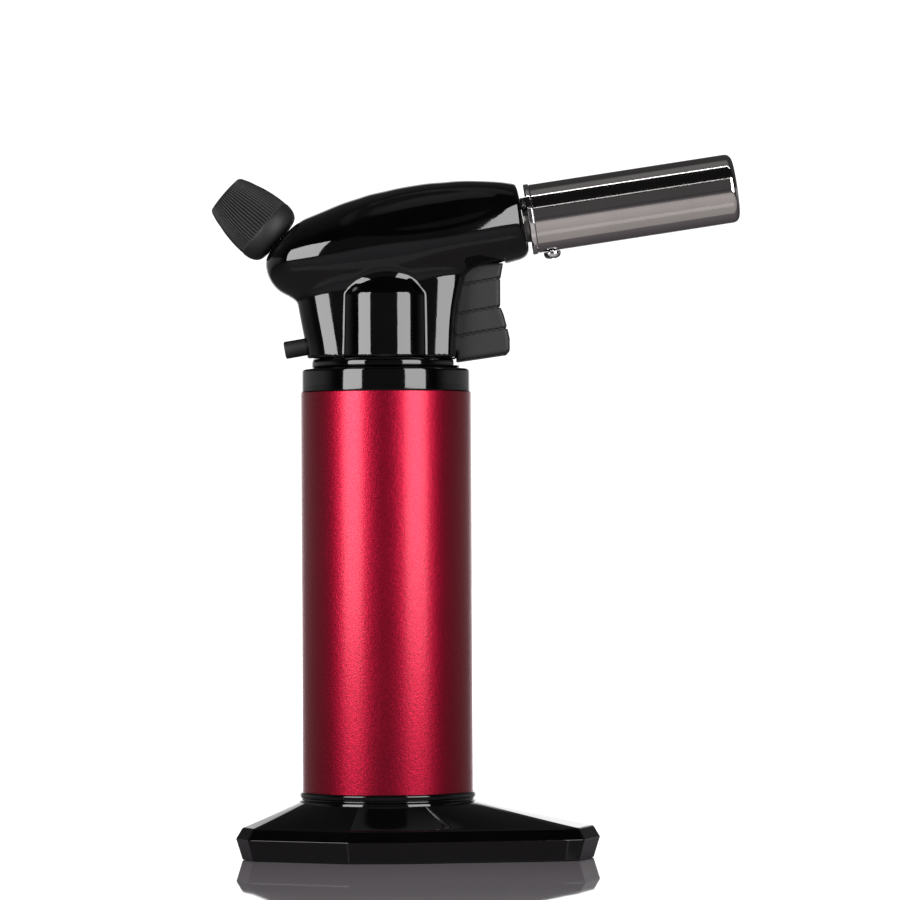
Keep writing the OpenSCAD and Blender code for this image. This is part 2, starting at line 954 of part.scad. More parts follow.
// the rear land is turned a little smaller where the screw holds the barrel to the flange
module burner_shroud() {
    r = barrel_d / 2;
    color(chrome)
        burner_axis()
            difference() {
                rotate_extrude()
                    polygon(concat(
                        [[r - barrel_wall, flange_t / 2], [r - barrel_land_step, flange_t / 2],
                         [r - barrel_land_step, barrel_land], [r, barrel_land]],
                        [for (k = [0:lip_steps]) let (a = 90 * k / lip_steps)
                            [r - lip + lip * cos(a), barrel_len - lip + lip * sin(a)]],
                        [for (k = [lip_steps:-1:0]) let (a = 90 * k / lip_steps, q = lip - barrel_wall)
                            [r - lip + q * cos(a), barrel_len - lip + q * sin(a)]]
                    ));
                translate([0, 0, barrel_screw_t])
                    rotate([0, 90, 0])
                        cylinder(r = 1.15, h = 12);
            }
}

module flame_tube() {
    color(steel)
        burner_axis()
            ring(4.75, 4.15, -5, 22);
}

module flame_holder() {
    color(brass)
        burner_axis()
            difference() {
                rod(6.6, 18, 27);
                rod(4.8, 17, 22);
                rod(5.8, 24, 27 + cut);
                for (a = [0:60:300])
                    rotate([0, 0, a])
                        translate([3, 0, 20])
                            cylinder(r = 0.8, h = 6);
                rod(1, 20, 25);
            }
}

module electrode() {
    color(steel)
        burner_axis()
            translate([0, -side_y, 0])
                rod(0.35, -12, 30);
}

module electrode_insulator() {
    color(cream)
        burner_axis()
            translate([0, -side_y, 0])
                difference() {
                    rod(0.85, -5, 16);
                    rod(0.4, -6, 17);
                }
}

module shroud_screw() {
    color(steel)
        burner_axis()
            translate([0, 0, barrel_screw_t])
                rotate([0, 90, 0])
                    difference() {
                        union() {
                            rod(0.95, 6.6, barrel_d / 2 + 1);
                            rod(2.35, barrel_d / 2 - barrel_land_step + 0.1, barrel_d / 2 + 2);
                        }
                        cross_drive(barrel_d / 2 + 2, 1.5, 0.9);
                    }
}

non_slip_pad();
base_plate();
base_screws();
foot_shell();
body_sleeve();
fuel_tank();
tank_cap();
tank_seal();
refill_valve_body();
refill_valve_stem();
refill_valve_spring();
refill_seal();
upper_collar();
gas_valve_body();
gas_valve_stem();
gas_valve_spring();
gas_lever();
lever_pin();
gas_hose();
jet_hose();
housing_left();
housing_right();
housing_screws();
trigger();
trigger_spring();
piezo_body();
piezo_plunger();
ignition_wire();
lock_button();
lock_spring();
regulator_body();
gland_nut();
regulator_spindle();
regulator_needle();
flame_knob();
jet_holder();
gas_jet();
mixing_tube();
shroud_flange();
burner_shroud();
flame_tube();
flame_holder();
electrode();
electrode_insulator();
shroud_screw();
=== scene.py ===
import json
import math

import bmesh
import bpy
import numpy as np
from mathutils import Matrix, Vector


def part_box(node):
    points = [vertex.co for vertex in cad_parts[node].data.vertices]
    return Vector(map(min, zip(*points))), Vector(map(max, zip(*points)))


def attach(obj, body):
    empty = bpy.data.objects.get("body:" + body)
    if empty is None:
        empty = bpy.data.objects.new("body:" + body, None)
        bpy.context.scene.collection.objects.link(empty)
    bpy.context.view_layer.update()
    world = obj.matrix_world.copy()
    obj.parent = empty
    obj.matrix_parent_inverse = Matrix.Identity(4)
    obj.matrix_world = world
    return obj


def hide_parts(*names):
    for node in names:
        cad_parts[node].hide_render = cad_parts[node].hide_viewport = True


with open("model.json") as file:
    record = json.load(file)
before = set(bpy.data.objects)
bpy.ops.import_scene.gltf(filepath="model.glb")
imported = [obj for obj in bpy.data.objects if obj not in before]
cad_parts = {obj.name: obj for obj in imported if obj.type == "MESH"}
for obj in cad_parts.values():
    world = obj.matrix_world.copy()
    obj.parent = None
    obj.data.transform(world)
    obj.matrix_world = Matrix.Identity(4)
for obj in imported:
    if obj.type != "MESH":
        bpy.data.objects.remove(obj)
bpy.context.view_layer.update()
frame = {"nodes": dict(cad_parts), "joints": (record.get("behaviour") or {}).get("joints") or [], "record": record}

MM = 0.001
scene = bpy.context.scene
record = frame["record"]
joints = {joint["name"]: joint for joint in frame["joints"]}
mounts = {mount["name"]: mount for mount in record["mounts"]}
slot_of = {part["node"]: part["material_slot"] for part in record["subparts"]}

# ---------------------------------------------------------------- places and sizes from the frame
# Shapes are worked out in millimetres and scaled to metres when a mesh is made. Materials, lights and the
# camera are in metres.

class Line:
    """A line in the XZ plane that openings and turned parts are centred on.

    The record's own rounding is taken off again: the slope is kept to 0.01 degrees and the start to 0.1 mm.
    """

    def __init__(self, pos_m, axis, shift=0.0):
        rise = math.radians(round(math.degrees(math.atan2(axis[2], axis[0])), 2))
        self.dx = math.cos(rise)
        self.dz = math.sin(rise)
        self.x = round(pos_m[0] / MM + shift * self.dx, 1)
        self.z = round(pos_m[2] / MM + shift * self.dz, 1)

    def split(self, p):
        """How far points lie along the line and away from it."""
        rx, rz = p[:, 0] - self.x, p[:, 2] - self.z
        t = rx * self.dx + rz * self.dz
        return t, np.sqrt((rx * self.dz - rz * self.dx) ** 2 + p[:, 1] ** 2)

    def place(self):
        """Transform that lays a shape's own Z along the line."""
        z = Vector((self.dx, 0, self.dz))
        y = Vector((0, 1, 0))
        turn = Matrix((y.cross(z), y, z)).transposed().to_4x4()
        return Matrix.Translation(Vector((self.x, 0, self.z)) * MM) @ turn


def span(node):
    """A node's lowest and highest corner in millimetres."""
    return [[round(v / MM, 2) for v in corner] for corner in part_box(node)]


MOUNT_AHEAD = 35  # from the burner's flange to the middle of the clamp's length
LOCK_END = (-0.0268, 0, 0.1344)  # rear end of the lock button
burner = Line(mounts["burner_barrel"]["pos_m"], mounts["burner_barrel"]["axis"], -MOUNT_AHEAD)
knob = Line(joints["knob_spin"]["pos_m"], joints["knob_spin"]["axis"])
press = Line(LOCK_END, joints["lock_slide"]["axis"])
(_, _, sleeve_z), (sleeve_r, _, sleeve_top) = span("body_sleeve")
(foot_rear, _, foot_z), (foot_front, foot_half, foot_top) = span("foot_shell")
(_, _, collar_z), (collar_r, _, collar_top) = span("upper_collar")
barrel_r = mounts["burner_barrel"]["dims"]["r_mm"]

# ---------------------------------------------------------------- fields and meshes


def spline(xs, ys):
    """Natural cubic through the points, held at its end values beyond them."""
    x, y = np.asarray(xs, float), np.asarray(ys, float)
    n = len(x)
    h = np.diff(x)
    a = np.eye(n)
    b = np.zeros(n)
    for i in range(1, n - 1):
        a[i, i - 1:i + 2] = h[i - 1], 2 * (h[i - 1] + h[i]), h[i]
        b[i] = 3 * ((y[i + 1] - y[i]) / h[i] - (y[i] - y[i - 1]) / h[i - 1])
    c = np.linalg.solve(a, b)
    s = (y[1:] - y[:-1]) / h - h * (2 * c[:-1] + c[1:]) / 3
    d = (c[1:] - c[:-1]) / (3 * h)

    def at(q):
        q = np.clip(q, x[0], x[-1])
        i = np.clip(np.searchsorted(x, q) - 1, 0, n - 2)
        t = q - x[i]
        return y[i] + t * (s[i] + t * (c[i] + t * d[i]))
    return at


def smin(a, b, k):
    """Smaller of two fields, blended over a width k."""
    h = np.clip(0.5 + 0.5 * (b - a) / k, 0, 1)
    return b + (a - b) * h - k * h * (1 - h)


def smax(a, b, k):
    """Larger of two fields, blended over a width k."""
    return -smin(-a, -b, k)


def all_of(*fields):
    """Field of the space that lies inside every one of the fields."""
    return np.maximum.reduce(fields)


def step(a, b, x):
    """Smooth rise from 0 at a to 1 at b."""
    t = np.clip((x - a) / (b - a), 0, 1)
    return t * t * (3 - 2 * t)


def block_of(start, size):
    """Index that takes a block out of a 3-D array."""
    return tuple(slice(first, first + count) for first, count in zip(start, size))


def crossings(values):
    """For each cell, the sum of the points where its edges cross the surface, and their number."""
    cells = [count - 1 for count in values.shape]
    total = np.zeros(cells + [3])
    number = np.zeros(cells)
    for axis in range(3):
        side1, side2 = [i for i in range(3) if i != axis]
        for i, j in ((0, 0), (0, 1), (1, 0), (1, 1)):
            start = [0, 0, 0]
            start[side1] = i
            start[side2] = j
            a = values[block_of(start, cells)]
            start[axis] = 1
            b = values[block_of(start, cells)]
            hit = (a < 0) != (b < 0)
            total[..., axis] += np.where(hit, a / np.where(hit, a - b, 1), 0)
            total[..., side1] += hit * i
            total[..., side2] += hit * j
            number += hit
    return total, number


def crossing_quads(inside, index):
    """One quad, facing out, round each grid edge that crosses the surface."""
    quads = []
    for axis in range(3):
        start = [1, 1, 1]
        size = [count - 1 for count in index.shape]
        start[axis] = 0
        size[axis] = index.shape[axis]
        a = inside[block_of(start, size)]
        start[axis] = 1
        b = inside[block_of(start, size)]
        e1, e2 = np.eye(3, dtype=int)[[(axis + 1) % 3, (axis + 2) % 3]]
        for crossing, order in ((a & ~b, 1), (~a & b, -1)):
            at = np.argwhere(crossing) + [0 if i == axis else 1 for i in range(3)]
            ring = [at - e1 - e2, at - e2, at, at - e1]
            quads.append(np.stack([index[tuple(r.T)] for r in ring], 1)[:, ::order])
    return np.concatenate(quads)


def settle(field, points, reach, rounds):
    """Moves points onto the field's surface, by at most reach a round."""
    e = 0.02
    for _ in range(rounds):
        rise = [field(points + e * way) - field(points - e * way) for way in np.eye(3)]
        gradient = np.stack(rise, 1) / (2 * e)
        steep = np.maximum((gradient ** 2).sum(1), 0.05)
        move = field(points)[:, None] * gradient / steep[:, None]
        size = np.linalg.norm(move, axis=1)
        points = points - move * np.minimum(1, reach / np.maximum(size, 1e-9))[:, None]
    return points


def net(field, low, high, cell, relax=3):
    """Closed quad mesh on a field's zero surface, its points evened out over the surface."""
    axes = [np.arange(a, b + cell, cell) for a, b in zip(low, high)]
    grid = np.stack(np.meshgrid(*axes, indexing="ij"), -1)
    parts = np.array_split(grid.reshape(-1, 3), 8)
    values = np.concatenate([field(part) for part in parts]).reshape(grid.shape[:3])
    values[[0, -1]] = 1
    values[:, [0, -1]] = 1
    values[:, :, [0, -1]] = 1
    total, number = crossings(values)
    used = number > 0
    index = -np.ones(number.shape, int)
    index[used] = np.arange(used.sum())
    points = np.array(low) + cell * (np.argwhere(used) + total[used] / number[used][:, None])
    quads = crossing_quads(values < 0, index)
    ends_a = quads[:, [0, 1, 2, 3]].ravel()
    ends_b = quads[:, [1, 2, 3, 0]].ravel()
    reach = 0.4 * cell
    for _ in range(relax):
        near = np.zeros_like(points)
        many = np.zeros(len(points))
        np.add.at(near, ends_a, points[ends_b])
        np.add.at(near, ends_b, points[ends_a])
        np.add.at(many, ends_a, 1)
        np.add.at(many, ends_b, 1)
        points = points + 0.5 * (near / many[:, None] - points)
        points = settle(field, points, reach, 1)
    return settle(field, points, reach, 2), quads


def make(name, points, faces, sharp=None):
    """New object from points in millimetres; edges over sharp degrees stay sharp."""
    mesh = bpy.data.meshes.new(name)
    points = np.asarray(points, float) * MM
    mesh.from_pydata(points.tolist(), [], [list(map(int, face)) for face in faces])
    mesh.validate()
    mesh.shade_smooth()
    if sharp is not None:
        mesh.set_sharp_from_angle(angle=math.radians(sharp))
    ob = bpy.data.objects.new(name, mesh)
    scene.collection.objects.link(ob)
    return ob


def lathe(name, profile, around=96, place=None, sharp=None, wobble=None):
    """Turns a closed (r, z) outline, given anticlockwise with r to the right, round its axis."""
    rows, faces, points = [], [], []
    for r, z in profile:
        if r < 1e-6:
            rows.append([len(points)] * around)
            points.append((0, 0, z))
            continue
        rows.append(list(range(len(points), len(points) + around)))
        for k in range(around):
            a = 2 * math.pi * k / around
            q = r if wobble is None else r + wobble(k, r, z)
            points.append((q * math.cos(a), q * math.sin(a), z))
    for row, above in zip(rows, rows[1:] + rows[:1]):
        for k in range(around):
            j = (k + 1) % around
            face = list(dict.fromkeys((row[k], row[j], above[j], above[k])))
            if len(face) > 2:
                faces.append(face)
    ob = make(name, points, faces, sharp)
    if place is not None:
        ob.data.transform(place)
    return ob


def fillet(points, radius=0.3, steps=4):
    """Rounds every corner of a closed outline. A point's third number is its own radius."""
    out = []
    count = len(points)
    for i in range(count):
        before, corner, after = (np.array(points[j % count][:2], float) for j in (i - 1, i, i + 1))
        own = points[i][2] if len(points[i]) > 2 else radius
        u, w = before - corner, after - corner
        long_u, long_w = np.linalg.norm(u), np.linalg.norm(w)
        c = min(own, 0.45 * long_u, 0.45 * long_w)
        if c < 1e-3 or corner[0] < 1e-6:
            out.append(tuple(corner))
            continue
        a, b = corner + u / long_u * c, corner + w / long_w * c
        for k in range(steps + 1):
            t = k / steps
            out.append(tuple((1 - t) ** 2 * a + 2 * t * (1 - t) * corner + t * t * b))
    return out


def arc(r, z, radius, start, end, points=9):
    """Points of an arc round (r, z), its angles in degrees."""
    angles = np.linspace(math.radians(start), math.radians(end), points)
    return [(r + radius * math.cos(a), z + radius * math.sin(a)) for a in angles]


def cut(ob, tool):
    """Takes the tool's shape out of an object, and removes the tool."""
    mod = ob.modifiers.new("cut", "BOOLEAN")
    mod.operation = "DIFFERENCE"
    mod.solver = "EXACT"
    mod.object = tool
    dep = bpy.context.evaluated_depsgraph_get()
    mesh = bpy.data.meshes.new_from_object(ob.evaluated_get(dep))
    ob.modifiers.remove(mod)
    ob.data = mesh
    bpy.data.objects.remove(tool)


def block(low, high):
    """Plain box for cutting with."""
    points = [(x, y, z) for x in (low[0], high[0]) for y in (low[1], high[1]) for z in (low[2], high[2])]
    faces = [(0, 1, 3, 2), (4, 6, 7, 5), (0, 4, 5, 1), (2, 3, 7, 6), (0, 2, 6, 4), (1, 5, 7, 3)]
    return make("tool", points, faces)


# ---------------------------------------------------------------- materials

class Look:
    """A Principled material, with short calls for the nodes that the looks share."""

    def __init__(self, name):
        self.material = bpy.data.materials.new(name)
        self.material.use_nodes = True
        self.tree = self.material.node_tree
        self.shader = self.tree.nodes["Principled BSDF"]
        self.place = self.tree.nodes.new("ShaderNodeTexCoord").outputs["Object"]

    def set(self, **values):
        """Sets the shader's own sockets."""
        for name, value in values.items():
            self.shader.inputs[name.replace("_", " ")].default_value = value
        return self

    def noise(self, scale, detail=3, roughness=0.5, stretch=None, spin=None):
        """Noise over the object, with scale in cells to the metre."""
        place = self.place
        if stretch or spin:
            mapping = self.tree.nodes.new("ShaderNodeMapping")
            if spin:
                mapping.inputs["Rotation"].default_value = spin
            if stretch:
                mapping.inputs["Scale"].default_value = stretch
            self.tree.links.new(place, mapping.inputs["Vector"])
            place = mapping.outputs["Vector"]
        node = self.tree.nodes.new("ShaderNodeTexNoise")
        node.inputs["Scale"].default_value = scale
        node.inputs["Detail"].default_value = detail
        node.inputs["Roughness"].default_value = roughness
        self.tree.links.new(place, node.inputs["Vector"])
        return node.outputs["Fac"]

    def ramp(self, value, low, high, a, b):
        """Runs from a to b as the value goes from low to high."""
        node = self.tree.nodes.new("ShaderNodeMapRange")
        node.inputs["From Min"].default_value = low
        node.inputs["From Max"].default_value = high
        node.inputs["To Min"].default_value = a
        node.inputs["To Max"].default_value = b
        self.tree.links.new(value, node.inputs["Value"])
        return node.outputs["Result"]

    def colour(self, value, dark, light):
        """Base colour that runs from dark to light as the value goes from 0.3 to 0.7."""
        node = self.tree.nodes.new("ShaderNodeMix")
        node.data_type = "RGBA"
        node.inputs["A"].default_value = (*dark, 1)
        node.inputs["B"].default_value = (*light, 1)
        self.tree.links.new(self.ramp(value, 0.3, 0.7, 0, 1), node.inputs["Factor"])
        self.tree.links.new(node.outputs["Result"], self.shader.inputs["Base Color"])
        return self

    def rough(self, value, low, high, top=0.7):
        """Roughness that runs from low to high as the value goes from 0.3 to top."""
        self.tree.links.new(self.ramp(value, 0.3, top, low, high), self.shader.inputs["Roughness"])
        return self

    def bump(self, *layers):
        """Bump layers, each (value, strength, distance)."""
        last = None
        for value, strength, distance in layers:
            node = self.tree.nodes.new("ShaderNodeBump")
            node.inputs["Strength"].default_value = strength
            node.inputs["Distance"].default_value = distance
            self.tree.links.new(value, node.inputs["Height"])
            if last:
                self.tree.links.new(last, node.inputs["Normal"])
            last = node.outputs["Normal"]
        self.tree.links.new(last, self.shader.inputs["Normal"])
        return self


def gloss_black():
    """Polished moulding: faint haze, a slow ripple and fine hairlines."""
    look = Look("gloss_black").set(Metallic=0.0, IOR=1.5)
    haze = look.noise(90, 4, 0.6)
    hairlines = look.noise(1400, 3, 0.6, stretch=(1, 1, 0.15), spin=(0.4, 0.2, 0.5))
    look.colour(haze, (0.0005, 0.0005, 0.0006), (0.0012, 0.0012, 0.0014))
    look.rough(haze, 0.035, 0.085, 0.75)
    return look.bump((look.noise(220, 2), 0.05, 0.0002), (hairlines, 0.03, 0.00005)).material


def anodised():
    """Bead-blasted red aluminium: a grain that sparkles under a thin satin coat."""
    look = Look("red_anodised").set(Metallic=1.0, Coat_Weight=0.32, Coat_Roughness=0.24, Coat_IOR=1.5)
    grain = look.noise(2600, 3, 0.7)
    look.colour(grain, (0.26, 0.002, 0.018), (0.38, 0.006, 0.032))
    look.rough(look.noise(45, 3, 0.5), 0.35, 0.39)
    return look.bump((grain, 0.7, 0.00007), (look.noise(1100, 2), 0.4, 0.0001)).material


def matte(name, base, grain=1500, rough=(0.52, 0.64), depth=0.35):
    """Black rubber or textured plastic with a moulded grain."""
    look = Look(name).set(Metallic=0.0, IOR=1.48)
    texture = look.noise(grain, 3, 0.65)
    look.colour(look.noise(120, 3), (base * 0.8,) * 3, (base * 1.25, base * 1.25, base * 1.3))
    look.rough(texture, *rough)
    return look.bump((texture, depth, 0.00008)).material


def metal(name, dark, light, rough, grain, depth=0.08):
    """Bare metal or plating: fine grain, and a slow change of colour."""
    look = Look(name).set(Metallic=1.0)
    texture = look.noise(grain, 3, 0.6)
    look.colour(look.noise(60, 4, 0.6), dark, light)
    look.rough(texture, *rough)
    return look.bump((texture, depth, 0.00005)).material


def soft(name, dark, light, rough, transmission=0.0, subsurface=0.0):
    """Pale plastic, clear hose or ceramic."""
    look = Look(name).set(Metallic=0.0, IOR=1.5, Transmission_Weight=transmission)
    look.set(Subsurface_Weight=subsurface, Subsurface_Scale=0.002)
    texture = look.noise(500, 3, 0.6)
    look.colour(look.noise(80, 3), dark, light)
    look.rough(texture, *rough)
    return look.bump((texture, 0.2, 0.0001)).material


MATTES = {
    "matte_black": (0.009,),
    "pad_rubber": (0.018, 900, (0.7, 0.85), 0.6),
    "seal_rubber": (0.012, 1200, (0.45, 0.6), 0.2),
    "wire_cover": (0.02, 1200, (0.4, 0.5), 0.2),
    "grey_plastic": (0.05, 800, (0.45, 0.6), 0.4),
}
METALS = {
    "dark_chrome": ((0.50, 0.47, 0.465), (0.56, 0.53, 0.525), (0.05, 0.10), 2200, 0.06),
    "bright_chrome": ((0.62, 0.61, 0.62), (0.7, 0.69, 0.7), (0.06, 0.12), 900, 0.03),
    "screw_steel": ((0.5, 0.5, 0.51), (0.62, 0.62, 0.63), (0.2, 0.35), 1500),
    "stem_steel": ((0.5, 0.5, 0.51), (0.6, 0.6, 0.61), (0.15, 0.3), 1500),
    "spring_steel": ((0.38, 0.38, 0.39), (0.5, 0.5, 0.51), (0.2, 0.35), 1800),
    "lever_steel": ((0.5, 0.5, 0.5), (0.62, 0.62, 0.64), (0.25, 0.42), 1000),
    "burner_steel": ((0.10, 0.10, 0.105), (0.17, 0.165, 0.16), (0.18, 0.34), 900),
    "brass": ((0.66, 0.46, 0.2), (0.76, 0.56, 0.27), (0.18, 0.34), 1200),
    "burner_brass": ((0.3, 0.2, 0.12), (0.5, 0.34, 0.19), (0.28, 0.5), 700),
}
SOFTS = {
    "tank_nylon": ((0.6, 0.62, 0.62), (0.7, 0.72, 0.72), (0.4, 0.55), 0.0, 0.3),
    "hose_clear": ((0.6, 0.62, 0.6), (0.7, 0.72, 0.7), (0.2, 0.35), 0.4),
    "piezo_case": ((0.62, 0.6, 0.53), (0.72, 0.7, 0.62), (0.4, 0.55)),
    "ceramic": ((0.74, 0.72, 0.66), (0.84, 0.82, 0.77), (0.5, 0.7)),
}
material_for = {"gloss_black": gloss_black(), "red_anodised": anodised()}
for make_look, table in ((matte, MATTES), (metal, METALS), (soft, SOFTS)):
    for name, values in table.items():
        material_for[name] = make_look(name, *values)


def finish_with(ob, slot):
    """Gives an object the material of one of the record's slots."""
    ob.data.materials.clear()
    ob.data.materials.append(material_for[slot])


for name, node in frame["nodes"].items():
    finish_with(node, slot_of[name])


def piece(ob, node):
    """Makes an object the visible piece that stands for a CAD node."""
    finish_with(ob, slot_of[node])
    bodies = record["behaviour"]["bodies"]
    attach(ob, next(body for body, members in bodies.items() if node in members))
    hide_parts(node)
    return ob


# ---------------------------------------------------------------- housing
# The head's upper, lower and side outlines are each measured from its rounded rear tip: at a distance t
# ahead of the tip, the half size is sqrt(share * t), so that the tip closes smoothly.

TIP = -31.9
OUTLINE_END = 41  # the splines stop here, ahead of the front plane
middle = spline([TIP, -27, -22.3, -15, -6, 3, 10, 20, 30, 36, OUTLINE_END],
                [157.8, 158, 158.5, 159.5, 161, 162.3, 163.1, 165, 167.7, 169, 169.8])
top_x = [-23.1, -19.9, -16.7, -13.6, -10.4, -7.2, -4, -0.8, 2.3, 5.5,
         8.7, 11.9, 15.1, 18.2, 24.6, 27.8, 31, 33, 36, 40]
top_z = [168.5, 170, 171.3, 172.6, 173.8, 174.8, 175.8, 176.5, 177.2, 177.8,
         178.3, 178.7, 178.9, 179.15, 179.2, 179.05, 178.8, 178.5, 178.1, 177.5]
under_x = [-22.3, -15, -5, 3, 12, 22, 30, 34, 37, OUTLINE_END]
under_z = [148.1, 146.6, 144.5, 144.9, 149.4, 154.2, 156.5, 157.6, 158.4, 159.4]
side_x = [-27, -23, -18.6, -12, -4, 3, 10, 17, 24, 29, 32, 35, OUTLINE_END]
side_y = [13.6, 15.6, 17.2, 18.7, 19.65, 19.9, 19.5, 18.6, 17.4, 16.3, 15.5, 14.5, 11.8]


def shares(xs, halves):
    return [half ** 2 / (x - TIP) for x, half in zip(xs, halves)]


over = [z - middle(x) for x, z in zip(top_x, top_z)]
under = [middle(x) - z for x, z in zip(under_x, under_z)]
top_share = spline([TIP, -28] + top_x, [11.2, 11.6] + shares(top_x, over))
under_share = spline([TIP, -29, -26] + under_x, [19.9, 17, 14] + shares(under_x, under))
side_share = spline([TIP] + side_x, [55] + shares(side_x, side_y))
# 2 gives round sections, and more gives squarer ones
top_power = spline([TIP, -20, 0, 18, 30, OUTLINE_END], [2.0, 2.05, 2.15, 2.3, 2.5, 2.6])
under_power = spline([TIP, -20, -8, 8, 20, 30, OUTLINE_END], [2.0, 1.9, 1.65, 1.65, 2.0, 2.3, 2.4])

NECK_Z = 132
NECK_TOP = 158.5
NECK_POWER = 3.1
neck_rear = spline([130, 132, 139, 148, 154, 166], [-20.7, -20.85, -22, -23.6, -24.4, -26])
neck_front = spline([130, 132, 139, 144.5, 150.6, 154, 160, 166],
                    [18.8, 18.85, 19.05, 19.6, 21, 22.2, 25, 27])
COLUMN_R = 14
COLUMN_Y = 5
ARCH_Z = 148.8
BADGE_MID = (11, 170.3)
BADGE_HALF = (21.5, 5.4)
BADGE_TILT = math.radians(8)
BADGE_DEPTH = 0.3
FRONT = 69.5
WALL = 1.9
FRONT_WALL = 2.3
SPIGOT_R = 17.4
SPIGOT_BORE = 15.6
SPIGOT_FROM = 124.6
BURNER_HOLE_R, BURNER_HOLE_FROM = 6.35, -12
KNOB_HOLE_R, KNOB_HOLE_FROM = 2.8, -4
LOCK_HOLE_R, LOCK_HOLE_TO = 2.62, 12
SLOT_FROM, SLOT_TO, SLOT_TOP = 13, 31.6, 158.6
SCREWS = [(-8, 167), (11.5, 153.2), (-17.5, 146), (15, 173.5)]
POST_R = 2.9
SCREW_HEAD_R = 2.2
SCREW_HEAD_Y = 9.9
TRIGGER_HALF = 7.5
TRIGGER_ROOM = TRIGGER_HALF + 0.45


def front_plane(x, z):
    """Distance ahead of the slanted plane that ends the head."""
    return 0.98 * x + 0.2 * z - FRONT


def head_field(p):
    """Rounded head between the outlines, ended by the front plane and the knob's flat seat."""
    x, y, z = p[:, 0], np.abs(p[:, 1]), p[:, 2]
    dz = z - middle(x)
    share = np.where(dz > 0, top_share(x), under_share(x))
    power = np.where(dz > 0, top_power(x), under_power(x))
    ratio = np.sqrt(share / side_share(x))
    r = (np.abs(dz) ** power + (y * ratio) ** power + 1e-9) ** (1 / power)
    slope = np.sqrt(4 * np.maximum(r * r, 4) * (0.5 + 0.5 * np.minimum(ratio, 1.5) ** 2) + share ** 2)
    d = (r * r - share * (np.minimum(x, OUTLINE_END) - TIP)) / slope
    edge_radius = np.interp(z, [158, 163, 176], [3.4, 2.2, 0.7])
    d = smax(d, front_plane(x, z), edge_radius)
    knob_seat, _ = knob.split(p)
    return smax(d, knob_seat, 1.6)


def neck_field(p):
    """Squarish neck with a round column on each side, which leans in above the arch."""
    x, y, z = p[:, 0], np.abs(p[:, 1]), p[:, 2]
    half_x = np.where(x < 0, -neck_rear(z), 22.6 + 0.06 * (z - NECK_Z))
    half_y = 14.6 + 0.006 * (z - NECK_Z)
    around = ((np.abs(x) / half_x) ** NECK_POWER + (y / half_y) ** NECK_POWER + 1e-9) ** (1 / NECK_POWER)
    d = (around - 1) * np.minimum(half_x, half_y)
    d = smax(d, x - neck_front(z), 2.6)
    lean = 0.48 * np.maximum(z - ARCH_Z, 0)
    column = np.sqrt(x ** 2 + (y - COLUMN_Y) ** 2) - COLUMN_R + lean
    d = smin(d, column, 0.3)
    d = smax(d, z - NECK_TOP, 0.5)
    return smax(d, NECK_Z + 0.05 - z, 0.5)


def badge_field(p):
    """Tilted oval on the side of the head."""
    x, z = p[:, 0] - BADGE_MID[0], p[:, 2] - BADGE_MID[1]
    u = x * math.cos(BADGE_TILT) + z * math.sin(BADGE_TILT)
    w = -x * math.sin(BADGE_TILT) + z * math.cos(BADGE_TILT)
    oval = np.sqrt((u / BADGE_HALF[0]) ** 2 + (w / BADGE_HALF[1]) ** 2 + 1e-9) - 1
    return oval * BADGE_HALF[1]


def housing_field(p):
    """Outside of the whole housing."""
    d = smin(head_field(p), neck_field(p), 2.2)
    return d + BADGE_DEPTH * step(0.7, -0.7, badge_field(p))


def half_field(p, side):
    """One hollow half of the housing with its openings: side is -1 for the left half, 1 for the right."""
    x, y, z = p[:, 0], p[:, 1], p[:, 2]
    off_axis = np.sqrt(x * x + y * y)
    outside = housing_field(p)
    spigot = all_of(off_axis - SPIGOT_R, SPIGOT_FROM - z, z - NECK_Z - 4)
    hollow = all_of(outside + WALL, front_plane(x, z) + FRONT_WALL)
    spigot_bore = all_of(off_axis - SPIGOT_BORE, z - NECK_Z - 6)
    d = all_of(np.minimum(outside, spigot), -np.minimum(hollow, spigot_bore))
    t, r = burner.split(p)
    d = smax(d, -all_of(r - BURNER_HOLE_R, BURNER_HOLE_FROM - t), 0.35)
    t, r = knob.split(p)
    d = smax(d, -all_of(r - KNOB_HOLE_R, KNOB_HOLE_FROM - t), 0.3)
    t, r = press.split(p)
    d = smax(d, -all_of(r - LOCK_HOLE_R, t - LOCK_HOLE_TO), 0.35)
    trigger_slot = all_of(np.abs(y) - TRIGGER_ROOM, SLOT_FROM - x, x - SLOT_TO, z - SLOT_TOP)
    d = smax(d, -trigger_slot, 0.45)
    if side > 0:
        for screw_x, screw_z in SCREWS:
            r = np.sqrt((x - screw_x) ** 2 + (z - screw_z) ** 2)
            post = all_of(r - POST_R, np.abs(y - 6) - 4.4, outside + 0.6)
            d = np.minimum(d, post)
            d = smax(d, -all_of(r - SCREW_HEAD_R, SCREW_HEAD_Y - y), 0.3)
        # room for the trigger's upper rear edge at the end of its stroke, below a plane that slopes with it
        over_trigger = 0.814 * (z - 149.84) - 0.581 * (x - 11.05) - 0.5
        d = all_of(d, -all_of(over_trigger, 10.6 - x, np.abs(y) - TRIGGER_ROOM))
    return all_of(d, 0.05 - side * y)


def housing():
    cell = 0.5
    for side, node, y_from, y_to in ((-1, "housing_left", -21, 0.6), (1, "housing_right", -0.6, 21)):
        points, quads = net(lambda p: half_field(p, side), (-34, y_from, 124), (39, y_to, 181), cell)
        piece(make(node + "_skin", points, quads, 50), node)


# ---------------------------------------------------------------- foot
# The foot's outline at its ridge, on the +Y side from front to rear. Every level is this outline moved in.

